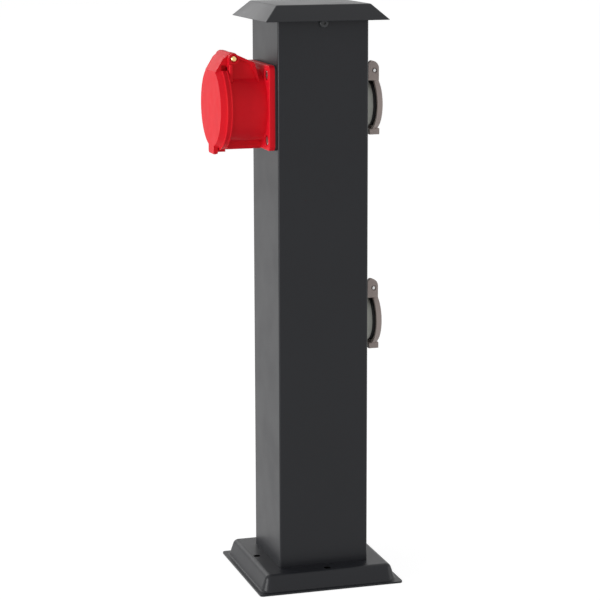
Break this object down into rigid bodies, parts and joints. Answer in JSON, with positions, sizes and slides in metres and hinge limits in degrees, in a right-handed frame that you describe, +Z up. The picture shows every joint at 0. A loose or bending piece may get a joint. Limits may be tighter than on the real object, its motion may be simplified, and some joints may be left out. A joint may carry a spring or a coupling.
{
  "type": "garden socket post",
  "caption": "Square powder-coated steel garden post with a flanged base and a hooded cap, a large red lidded round socket on one side and small lidded outlets on the other.",
  "frame": {"origin": "centre of the base's underside, on the ground", "axes": "+Z up along the post, +X towards the side with the two small outlets, -Y towards the front with the cap screw"},
  "size_m": [0.153, 0.13, 0.5043],
  "materials": {
    "graphite_coat": "fine-textured matt powder coat",
    "zinc_sheet": "galvanised sheet",
    "zinc_fasteners": "zinc plated",
    "black_screws": "coated in the post's colour",
    "spring_steel": "bright stainless wire",
    "black_rubber": "matt",
    "red_plastic": "satin moulding",
    "black_plastic": "satin moulding",
    "brass_contacts": "bright turned brass",
    "lid_taupe": "satin moulding",
    "collar_grey": "satin moulding",
    "insert_grey": "satin moulding",
    "terminal_grey": "matt moulding",
    "terminal_blue": "matt moulding",
    "terminal_green_yellow": "matt moulding",
    "tinned_lug": "tinned copper",
    "wire_brown": "wire insulation",
    "wire_black": "wire insulation",
    "wire_grey": "wire insulation",
    "wire_blue": "wire insulation",
    "wire_green_yellow": "wire insulation"
  },
  "bodies": {
    "post": {"base_tray": "graphite_coat", "column_tube": "graphite_coat", "cap_cover": "graphite_coat", "foot_bracket": "zinc_sheet", "foot_screws": "zinc_fasteners", "foot_weld_nuts": "zinc_fasteners", "cable_grommet": "black_rubber", "cap_bracket": "zinc_sheet", "m4_rivet_nuts": "zinc_fasteners", "cap_screws": "black_screws", "red_gasket": "black_rubber", "red_housing": "red_plastic", "red_insert": "black_plastic", "red_terminal_base": "black_plastic", "red_contact_sleeves": "brass_contacts", "red_terminal_screws": "zinc_fasteners", "red_flange_screws": "zinc_fasteners", "red_hinge_pin": "brass_contacts", "red_lid_spring": "spring_steel", "upper_gasket": "black_rubber", "upper_housing": "collar_grey", "upper_insert": "insert_grey", "upper_earth_clips": "spring_steel", "upper_contact_sleeves": "brass_contacts", "upper_terminal_screws": "zinc_fasteners", "upper_flange_screws": "zinc_fasteners", "upper_hinge_pin": "spring_steel", "upper_lid_spring": "spring_steel", "lower_gasket": "black_rubber", "lower_housing": "collar_grey", "lower_insert": "insert_grey", "lower_earth_clips": "spring_steel", "lower_contact_sleeves": "brass_contacts", "lower_terminal_screws": "zinc_fasteners", "lower_flange_screws": "zinc_fasteners", "lower_hinge_pin": "spring_steel", "lower_lid_spring": "spring_steel", "outlet_rivet_nuts": "zinc_fasteners", "terminal_bracket": "zinc_sheet", "bracket_screws": "zinc_fasteners", "mounting_rail": "zinc_sheet", "phase_terminals": "terminal_grey", "neutral_terminal": "terminal_blue", "earth_terminal": "terminal_green_yellow", "terminal_bars": "brass_contacts", "terminal_screws": "zinc_fasteners", "rail_end_stops": "terminal_grey", "earth_lug": "tinned_lug", "earth_screw": "zinc_fasteners", "wires_brown": "wire_brown", "wires_black": "wire_black", "wires_grey": "wire_grey", "wires_blue": "wire_blue", "wires_earth": "wire_green_yellow"},
    "red_cover": {"red_lid": "red_plastic", "red_lid_seal": "black_rubber"},
    "upper_cover": {"upper_lid": "lid_taupe", "upper_lid_seal": "black_rubber"},
    "lower_cover": {"lower_lid": "lid_taupe", "lower_lid_seal": "black_rubber"}
  },
  "joints": [
    {"name": "red_lid_hinge", "type": "hinge", "parent": "post", "child": "red_cover", "pos_m": [-0.0731, 0, 0.4592], "axis": [0, 1, 0], "range_deg": [0, 105], "stiffness_Nm_per_rad": 0.03, "springref_deg": -85.94, "deforming": ["red_lid_spring"]},
    {"name": "upper_lid_hinge", "type": "hinge", "parent": "post", "child": "upper_cover", "pos_m": [0.0514, 0, 0.44625], "axis": [0, -1, 0], "range_deg": [0, 95], "stiffness_Nm_per_rad": 0.01, "springref_deg": -85.94, "deforming": ["upper_lid_spring"]},
    {"name": "lower_lid_hinge", "type": "hinge", "parent": "post", "child": "lower_cover", "pos_m": [0.0514, 0, 0.25665], "axis": [0, -1, 0], "range_deg": [0, 95], "stiffness_Nm_per_rad": 0.01, "springref_deg": -85.94, "deforming": ["lower_lid_spring"]}
  ]
}
